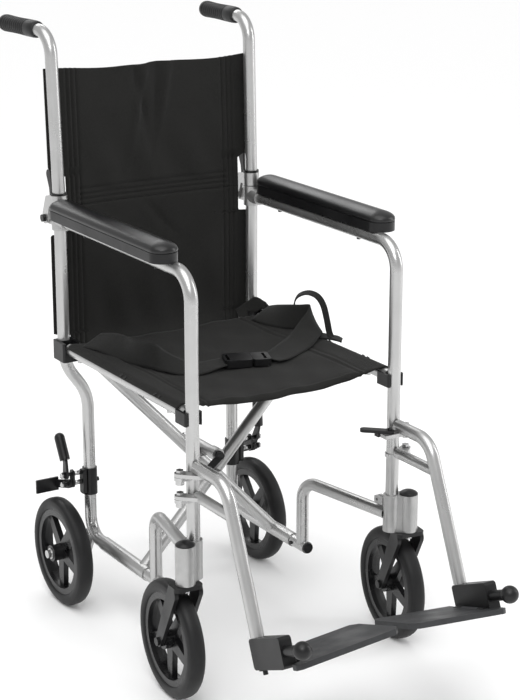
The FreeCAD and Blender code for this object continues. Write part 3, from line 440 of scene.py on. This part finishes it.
# ---- soft goods: back ---------------------------------------------------
LEAN = 13.0 / 302.0     # backward lean of the canes
LEAN_FROM = 739.0       # height of the cane hinges, where it begins, mm
BACK_LOW, BACK_SPLIT, BACK_TOP = 479.0, 736.5, 977.0
CREASE_TOP = 978.0      # height from which the creases run down, mm
PANEL_Y = 471.0
PANEL_HALF, NOTCH_HALF = 206.5, 174.0           # half the cloth's width, and beside the hinges, mm
NOTCH_LOW, NOTCH_HIGH = 692.0, 790.0
SKIRT_Z = 505.0         # the pocket round the posts ends here, mm
# long creases below the top edge: place at the top, drift for each mm down, width, depth
CREASES = ((-28, 0.17, 9, 5.0), (-6, -0.22, 8, -6.0), (18, -0.05, 10, 4.5), (42, -0.20, 8, -5.0))


def back_depth(x, z):
    """Where the back cloth's middle layer lies, mm behind the front posts."""
    y = PANEL_Y + 1.5 + max(0.0, z - LEAN_FROM) * LEAN
    side = abs(x)
    flat = min(1.0, max(0.0, (160 - side) / 60.0))
    belly = 7.0 * (1 - min(1.0, (x / 190.0) ** 2))
    y += belly * min(1.0, max(0.0, (z - 470.0) / 60.0)) * (0.4 + 0.6 * flat)
    if z > 762:
        down = CREASE_TOP - z
        fall = min(1.0, down / 40.0 + 0.55)
        creases = sum(depth * bell(x, start + drift * down, width) for start, drift, width, depth in CREASES)
        y += fall * flat * creases * bell(z, 930, 95)
        y += 2.4 * flat * math.sin(0.07 * x + 0.03 * z) * bell(z, 800, 60)
    else:
        y += 2.6 * flat * math.sin(0.05 * x - 0.035 * z + 0.8) * bell(z, 650, 70)
        y += 3.0 * flat * bell(x + 0.9 * (z - 700), 10, 12) * bell(z, 690, 40)
        y += 1.8 * flat * math.sin(0.09 * x + 0.02 * z) * bell(z, 540, 60)
    for seam in (145.0, 155.0, 164.0):
        y += 2.9 * bell(side, seam, 1.9)
        y -= 0.9 * bell(side, seam + 4.8, 2.2)
    if side < 150:
        for seam in (737.5, 746.5, 755.5, 764.5):
            y += 2.9 * bell(z, seam, 1.9)
    return y


def panel_half(z):
    """Half the width of the back cloth at a height, mm: narrower beside the cane hinges and at the skirt."""
    if NOTCH_LOW < z < NOTCH_HIGH:
        return NOTCH_HALF
    if z >= NOTCH_HIGH:
        share = min(1.0, (z - NOTCH_HIGH) / 16.0)
    else:
        share = min(1.0, (NOTCH_LOW - z) / 3.0, max(0.0, (z - SKIRT_Z) / 4.0))
    return NOTCH_HALF + (PANEL_HALF - NOTCH_HALF) * share


def edge_lift(t, x, z):
    """How far the top edge rises or dips at a place across it, mm."""
    lift = (2.0 * math.sin(0.03 * x + 0.9) - 4.5 * (1 - t * t)) * max(0.0, (z - 940.0) / 38.0)
    return lift - (1.8 * bell(x, -20, 16) if z > 974 else 0)


def back_piece(name, low, high, node, body):
    """One panel of the back, narrower beside the cane hinges."""
    zs = np.linspace(low, high, int((high - low) / 2.6))
    columns, uvs = [], []
    for t in np.linspace(-1, 1, 170):
        column = []
        for z in zs:
            x = t * panel_half(z)
            column.append(at(x, back_depth(x, z), z + edge_lift(t, x, z)))
            uvs.append((x * MM, z * MM))
        columns.append(column)
    verts, faces = grid(columns)
    obj = thicken(new_piece(name, verts, faces, "nylon", None, uvs), CLOTH)
    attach(obj, body)
    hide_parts(node)
    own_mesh(obj)


back_piece("back_cloth_low", BACK_LOW, BACK_SPLIT, "back_lower", "right_frame")
back_piece("back_cloth_top", BACK_SPLIT, BACK_TOP, "back_upper", "right_cane")


# ---- soft goods: armrest pads -------------------------------------------
NOSE_POINTS = 22        # steps round each end of a pad
# outline of a pad from its underside up: inset from its side in mm, and height in parts of PAD_LIFT
PAD_PROFILE = ((1.0, 0.0), (0.2, 1.5), (0.0, 4.0), (0.4, 7.0), (1.6, 9.5), (3.6, 12.0), (6.5, 14.3),
               (10.0, 16.3), (14.0, 17.9), (18.0, 19.1), (21.5, 19.8), (23.6, 20.0))
PAD_LIFT = 20.0


def stadium(centre_x, front, rear, half, nose, z):
    """A long ring with round ends, mm."""
    ring = []
    for start, middle in ((math.pi, front + nose), (0.0, rear - nose)):
        for k in range(NOSE_POINTS + 1):
            a = start + math.pi * k / NOSE_POINTS
            ring.append(at(centre_x + half * math.cos(a), middle + nose * math.sin(a), z))
    return ring


def armrest_pad(side):
    low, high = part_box(side + "_armrest_pad")
    z0, z1 = low.z / MM, high.z / MM
    centre_x = (low.x + high.x) / 2 / MM
    half = (high.x - low.x) / 2 / MM
    front, rear = low.y / MM + MIDDLE, high.y / MM + MIDDLE
    rings = []
    for inset, lift in PAD_PROFILE:
        h = half - inset
        z = z0 + lift * (z1 - z0) / PAD_LIFT
        rings.append(stadium(centre_x, front + inset * 1.3, rear - inset, h, h * 0.95, z))
    verts, faces = ring_solid(rings)
    obj = new_piece(side + "_armrest_cushion", verts, faces, "pad_vinyl", side + "_frame")
    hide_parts(side + "_armrest_pad")


for side, _ in SIDES:
    armrest_pad(side)


# ---- tyres, grips -------------------------------------------------------
TYRE_R, TYRE_BORE, TYRE_HALF = 100.0, 79.0, 15.0


def tyre_profile():
    """Closed (radius, offset) outline of a solid tyre with a side lip, mm."""
    low = -TYRE_HALF
    pts = [(TYRE_BORE, low + 2.0), (TYRE_BORE + 3, low + 0.6), (TYRE_BORE + 7, low),
           (TYRE_BORE + 12, low + 0.3), (TYRE_BORE + 14, low + 1.3), (TYRE_BORE + 15, low + 1.4),
           (TYRE_BORE + 17, low + 2.8),
           (TYRE_R - 2.0, low + 5.0), (TYRE_R - 0.6, low + 8.5), (TYRE_R, low + 12.0)]
    return pts + [(r, -o) for r, o in reversed(pts)]


def wheel_axis(name):
    """Centre and axis of a wheel, from its packed joint."""
    joint = next(j for j in frame["joints"] if j["name"] == name)
    return Vector(joint["pos_m"]), Vector(joint["axis"])


for side, _ in SIDES:
    for which in ("front", "rear"):
        wheel = "%s_%s" % (side, which)
        centre, axis = wheel_axis(wheel + "_spin")
        piece = closed_lathe(wheel + "_tread", tyre_profile(), centre, axis, (0, 0, 1), "tyre",
                             wheel + "_wheel", 96)
        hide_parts(wheel + "_tyre")


GRIP_RINGS = 11
GRIP_PITCH = 7.6        # from ring to ring, mm
RING_FROM = 14.0        # first ring from the grip's end, mm
GRIP_OUT, CANE_OUT = 9.0, 2.0   # the cane's end and its bend stand out from the posts by this, mm
BEND_Y = 472.0          # the cane's top bend, mm behind the front posts
END_CAP = 0.004         # rubber past the tube's end, m


def grip_profile(radius, length):
    """Ribbed (radius, offset) outline of a hand grip, from its end cap to the cane, mm."""
    profile = [(0.5, 0.0), (radius * 0.6, 0.0), (radius - 2.4, 1.2), (radius - 0.6, 4.0), (radius, 9.0)]
    for k in range(GRIP_RINGS):
        x = RING_FROM + GRIP_PITCH * k
        swell = 0.7 * math.sin(math.pi * k / (GRIP_RINGS - 1))
        profile += [(radius - swell, x), (radius - 1.5 - swell, x + 1.2), (radius - 1.5 - swell, x + 3.2),
                    (radius - swell, x + 4.6)]
    return profile + [(radius, length - 15), (radius - 0.4, length - 6), (radius - 1.6, length - 2),
                      (TUBE_R + 0.3, length - 0.6)]


def grip_piece(side, sign):
    """Ribbed hand grip over the cane's end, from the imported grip's length and radius."""
    low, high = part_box(side + "_grip")
    radius = (high.z - low.z) / 2 / MM
    z = (low.z + high.z) / 2 / MM
    tube_end = at(sign * (HALF + GRIP_OUT), high.y / MM + MIDDLE - 4, z)
    run = (at(sign * (HALF + CANE_OUT), BEND_Y, z) - tube_end).normalized()
    profile = grip_profile(radius, (high.y - low.y) / MM)
    verts, faces = ring_solid(turned(profile, tube_end - run * END_CAP, run, (0, 0, 1), 56))
    obj = new_piece(side + "_grip_skin", verts, faces, "grip_rubber", side + "_cane")
    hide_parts(side + "_grip")


for side, sign in SIDES:
    grip_piece(side, sign)


# ---- hard nodes: rounded edges ------------------------------------------
EDGE_WIDTHS = (("armrest_base", 2.5), ("footplate", 2.2), ("footrest_bracket", 3.5), ("caster_fork", 1.4),
               ("frame_trim", 0.8), ("front_rim", 0.9), ("rear_rim", 0.9), ("caster_clamp", 1.0),
               ("hinge_casting", 1.0), ("lock_clamp", 0.8), ("lock_handle", 1.0), ("lock_shoe", 0.8),
               ("latch_lever", 1.4), ("hanger_lever", 1.0), ("hanger_lugs", 0.6), ("cane_trim", 0.6))
for side, _ in SIDES:
    for part, width in EDGE_WIDTHS:
        soften(frame["nodes"]["%s_%s" % (side, part)], width)
for part in ("buckle_body", "buckle_tongue"):
    soften(frame["nodes"][part], 1.6, 3)


# ---- seat belt ----------------------------------------------------------
BELT_W = 45.0


def belts():
    """The two halves of the belt, its loose loop and its anchor flaps, all on the seat."""
    right = webbing("belt_right", [
        ((-168, 402, 511), (1, 0.2, 0.4)), ((-160, 360, 517), (0.9, 0.2, 0.6)),
        ((-152, 318, 516), (0.6, 0.3, 0.9)), ((-149, 276, 518), (0.2, 0.4, 1)),
        ((-142, 246, 520), (0.1, 0.5, 1)), ((-134, 231, 519), (0.25, 0.5, 0.95)),
        ((-119, 222, 511), (0.41, 0.72, 0.56)), ((-100, 206, 503), (0.5, 0.78, 0.34)),
        ((-69, 196, 498), (0.42, 0.88, 0.2)), ((-36, 202, 498), (0.3, 0.95, 0.06)),
        ((-13, 206, 498), (0.34, 0.94, 0))], BELT_W)
    left = webbing("belt_left", [
        ((60, 182, 498), (-0.36, 0.93, 0)), ((84, 188, 499), (-0.42, 0.88, 0.12)),
        ((112, 199, 503), (-0.46, 0.84, 0.22)), ((143, 212, 509), (-0.48, 0.80, 0.34)),
        ((174, 230, 521), (-0.5, 0.68, 0.52)), ((194, 243, 530), (-0.3, 0.6, 0.72)),
        ((200, 262, 533), (0.0, 0.35, 0.93)), ((190, 292, 527), (0.1, 0.25, 0.95)),
        ((180, 340, 519), (0.5, 0.3, 0.8)), ((178, 402, 511), (0.9, 0.1, 0.4))], BELT_W)
    loop = webbing("belt_loop", [
        ((196, 330, 512), (0.6, 0.75, 0)), ((203, 327, 532), (0.6, 0.75, 0)),
        ((204, 323, 549), (0.62, 0.7, 0.3)), ((204, 309, 562), (0.7, 0.35, 0.6)),
        ((204, 280, 573), (0.8, 0.1, 0.5)), ((204, 250, 573), (0.8, 0.0, 0.4)),
        ((204, 231, 561), (0.9, -0.3, 0.2)), ((204, 220, 540), (0.9, -0.35, 0)),
        ((206, 213, 514), (0.9, -0.3, 0.1)), ((209, 206, 505), (0.9, 0.1, -0.3))], 11.0, thick=2.4)
    tab = webbing("belt_tab", [
        ((196, 228, 507), (0.6, 0.7, 0.2)), ((207, 213, 506.5), (0.6, 0.75, 0.1)),
        ((214, 200, 506), (0.6, 0.75, 0.1)), ((218, 191, 504), (0.6, 0.75, 0.0))], 20.0, thick=3.0)
    flap = webbing("belt_flap", [
        ((164, 456, 494), (-0.2, 0.4, 0.9)), ((178, 450, 505), (0, 0.5, 0.85)),
        ((188, 441, 514), (0, 0.6, 0.8)), ((196, 432, 520), (-0.1, 0.7, 0.7)),
        ((206, 416, 514), (-0.2, 0.7, 0.6)), ((206, 396, 509), (-0.4, 0.5, 0.4)),
        ((205, 372, 512), (-0.5, 0.3, 0.8)), ((204, 350, 512), (-0.5, 0.2, 0.8))], 27.0, thick=2.6)
    for piece in (right, left, loop, tab, flap):
        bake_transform(piece)
    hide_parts("seat_belt")


belts()


# ---- small fasteners ----------------------------------------------------
CROWN = 0.35            # share of a head's height that its rounding takes


def fastener(name, place, axis, radius, height, slot, body, sides=20):
    """A domed screw or rivet head, or a hexagon nut with six sides, standing on a point."""
    axis = Vector(axis).normalized()
    start = Vector((0, 0, 1)) if abs(axis.z) < 0.9 else Vector((1, 0, 0))
    start = (start - axis * start.dot(axis)).normalized()
    profile = [(radius, -0.3), (radius, height * (1 - CROWN)), (radius * 0.82, height * 0.95),
               (radius * 0.4, height), (radius * 0.3, height * 0.8), (0.2, height * 0.8)]
    verts, faces = ring_solid(turned(profile, place, axis, start, sides))
    new_piece(name, verts, faces, slot, body, smooth=sides > 8)


def long_bolt(name, start, end, radius, slot, body):
    """A bright sleeve over a bolt between two points."""
    axis = end - start
    verts, faces = ring_solid(turned([(radius, 0), (radius, axis.length / MM)], start, axis, (0, 0, 1), 20))
    new_piece(name, verts, faces, slot, body)


def fasteners(side, sign):
    frame_body = side + "_frame"
    outward = (sign, 0, 0)
    rail_body = "front_cross" if side == "left" else "rear_cross"
    lean = math.radians(48)
    for k, y in enumerate((90.0, 104.0, 208.0, 222.0)):
        out = Vector((sign * math.cos(lean), 0, math.sin(lean)))
        place = at(sign * HALF, y, RAIL_Z) + out * 0.0133
        fastener("%s_seat_rivet_%d" % (side, k), place, out, 3.2, 1.7, "satin_black", rail_body)
    for k, z in enumerate((232.0, 250.0)):
        long_bolt("%s_lock_sleeve_%d" % (side, k), at(sign * 169.8, 455, z), at(sign * 185.8, 455, z), 4.3,
                  "bolt_steel", frame_body)
        fastener("%s_lock_nut_%d" % (side, k), at(sign * 206.8, 455, z), outward, 5.6, 4.0, "bolt_steel",
                 frame_body, sides=6)
    fastener(side + "_clamp_screw", at(sign * (HALF - 0.8), 24, 267.5), outward, 4.2, 3.0, "bolt_steel",
             frame_body)
    fastener(side + "_fork_nut", at(sign * 218.8, -15.2, 206.0), (0, 0, -1), 7.6, 5.0, "bolt_steel",
             side + "_fork", sides=6)
    for k, y in enumerate((110.0, 360.0)):
        fastener("%s_arm_screw_%d" % (side, k), at(sign * HALF, y, 709.1), (0, 0, -1), 4.0, 2.6,
                 "satin_black", frame_body)


for side, sign in SIDES:
    fasteners(side, sign)


# ---- floor, light, camera -----------------------------------------------
FLOOR = 40.0            # half the floor's width, m, so that its edge is never seen
floor_mesh = bpy.data.meshes.new("floor")
floor_mesh.from_pydata([(-FLOOR, -FLOOR, 0), (FLOOR, -FLOOR, 0), (FLOOR, FLOOR, 0), (-FLOOR, FLOOR, 0)], [],
                       [(0, 1, 2, 3)])
floor = bpy.data.objects.new("floor", floor_mesh)
bpy.context.scene.collection.objects.link(floor)
floor_mat, _ = base_material("floor", (0.95, 0.95, 0.95), 0.7)
floor_mesh.materials.append(floor_mat)

world = bpy.data.worlds.new("studio")
bpy.context.scene.world = world
world.use_nodes = True
world.node_tree.nodes["Background"].inputs["Color"].default_value = (1, 1, 1, 1)
world.node_tree.nodes["Background"].inputs["Strength"].default_value = 0.62


def area_light(name, place, target, size, power):
    lamp = bpy.data.lights.new(name, "AREA")
    lamp.shape = "RECTANGLE"
    lamp.size, lamp.size_y = size
    lamp.energy = power
    obj = bpy.data.objects.new(name, lamp)
    obj.location = place
    obj.rotation_mode = "QUATERNION"
    obj.rotation_quaternion = (Vector(target) - Vector(place)).to_track_quat("-Z", "Y")
    bpy.context.scene.collection.objects.link(obj)


area_light("key", (-1.6, -2.4, 3.0), (0, 0, 0.5), (1.4, 1.4), 30)
area_light("fill", (2.8, -1.2, 1.6), (0, 0, 0.5), (0.7, 2.2), 22)
area_light("rim", (0.5, 2.8, 2.6), (0, 0, 0.6), (2.0, 1.2), 20)
sun = bpy.data.lights.new("sun", "SUN")
sun.energy = 1.5
sun.angle = math.radians(60)
sun_object = bpy.data.objects.new("sun", sun)
sun_object.rotation_mode = "QUATERNION"
sun_object.rotation_quaternion = Vector((0.25, 0.2, -1)).to_track_quat("-Z", "Y")
bpy.context.scene.collection.objects.link(sun_object)

SENSOR, LENS = 36.0, 98.450743          # width of the sensor and focal length, mm
CAMERA_PLACE = (-1601.4, -2489.2, 1451.3)
CAMERA_YAW, CAMERA_PITCH = math.radians(-31.61), math.radians(16.6)
camera_data = bpy.data.cameras.new("camera")
camera_data.sensor_width = SENSOR
camera_data.lens = LENS
camera_data.clip_start, camera_data.clip_end = 0.1, 120
camera = bpy.data.objects.new("camera", camera_data)
bpy.context.scene.collection.objects.link(camera)
back = Vector((math.sin(CAMERA_YAW) * math.cos(CAMERA_PITCH), -math.cos(CAMERA_YAW) * math.cos(CAMERA_PITCH),
               math.sin(CAMERA_PITCH)))
right = Vector((0, 0, 1)).cross(back).normalized()
up = back.cross(right)
turn = Matrix((right, up, back)).transposed().to_4x4()
camera.matrix_world = Matrix.Translation(at(*CAMERA_PLACE)) @ turn
bpy.context.scene.camera = camera
bpy.context.scene.view_settings.view_transform = "Standard"
